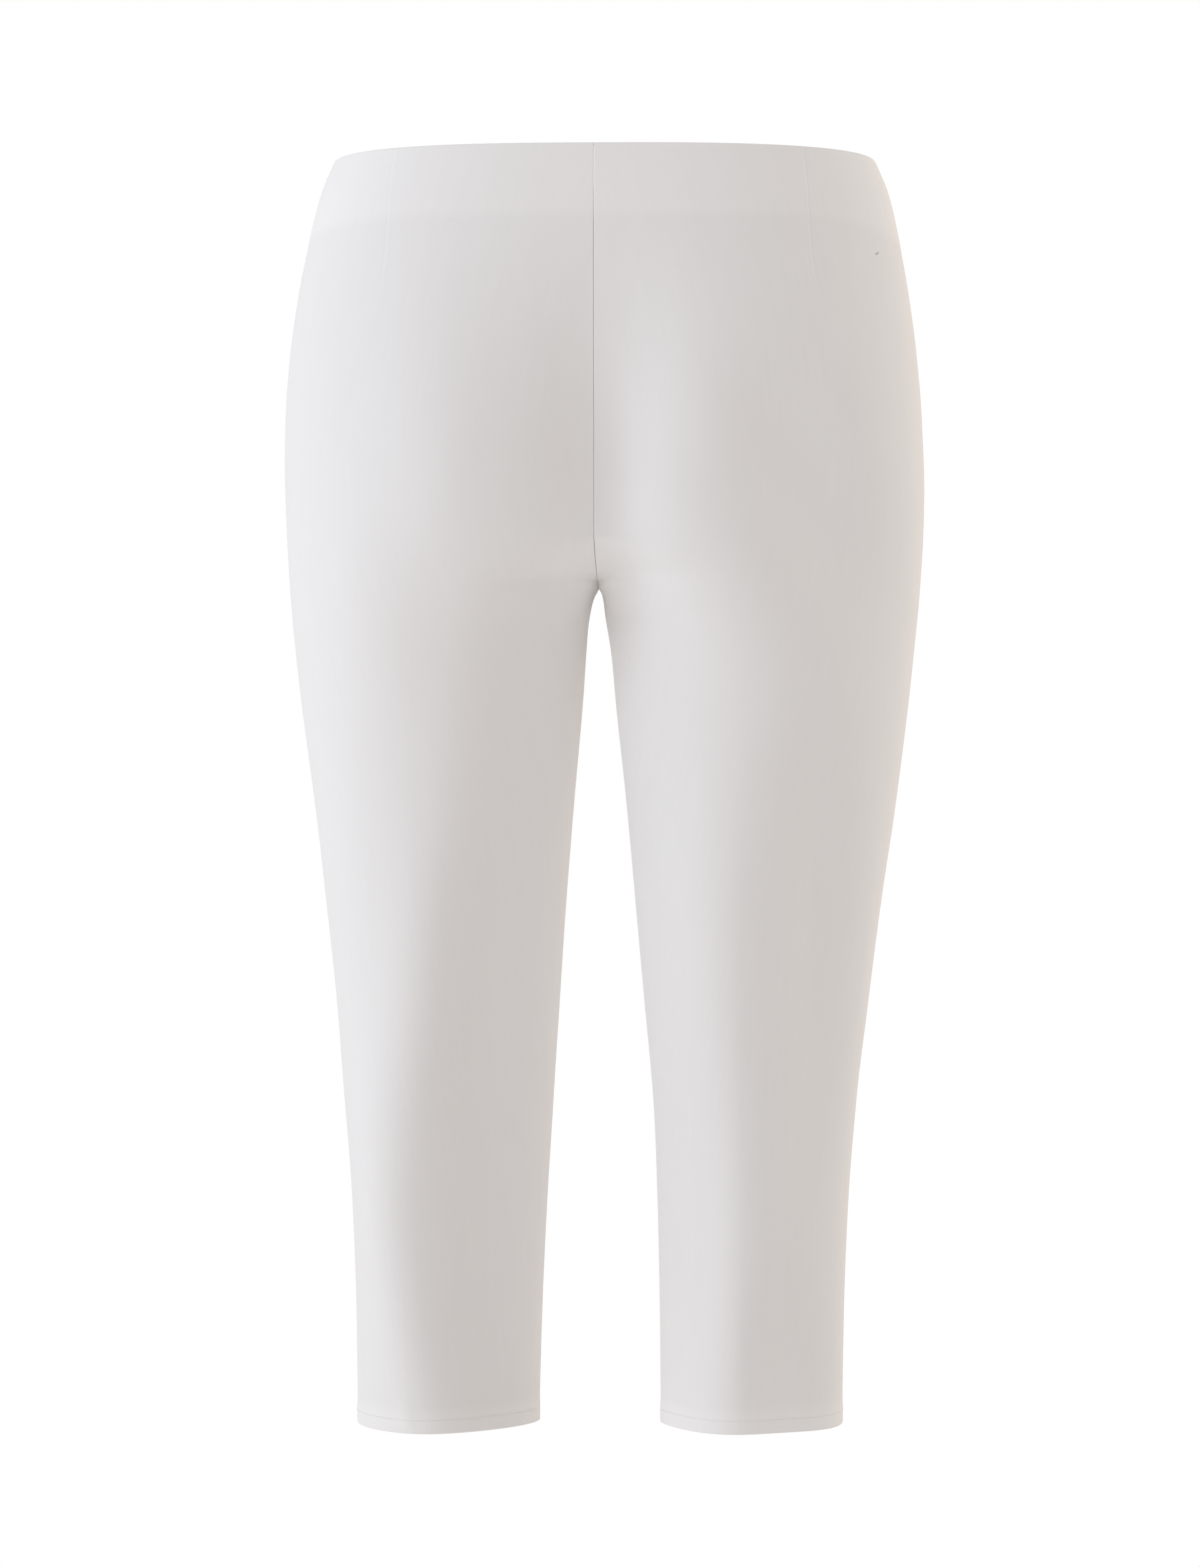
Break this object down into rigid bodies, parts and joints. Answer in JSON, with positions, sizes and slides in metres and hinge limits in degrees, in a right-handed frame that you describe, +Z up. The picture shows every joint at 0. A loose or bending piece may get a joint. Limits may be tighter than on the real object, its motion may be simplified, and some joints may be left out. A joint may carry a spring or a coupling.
{
  "type": "capri pants",
  "caption": "White pull-on capri pants, hollow and filled out as when worn, open at the waist and at both slim hems.",
  "frame": {"origin": "middle of the waist edge, in the plane of that edge, where the wearer's waist holds the garment up", "axes": "+Z up along the body, -Y towards the seat, +Y towards the front, +X towards the wearer's right"},
  "size_m": [0.4094, 0.2538, 0.8062],
  "materials": {
    "stretch_cloth": "matt white firm stretch weave with a very fine upright grain",
    "facing_cloth": "the same white cloth, seen inside the waist"
  },
  "bodies": {
    "root": {"back_left": "stretch_cloth", "back_right": "stretch_cloth", "front_left": "stretch_cloth", "front_right": "stretch_cloth", "facing_back_left": "facing_cloth", "facing_back_right": "facing_cloth", "facing_front": "facing_cloth"}
  },
  "joints": []
}
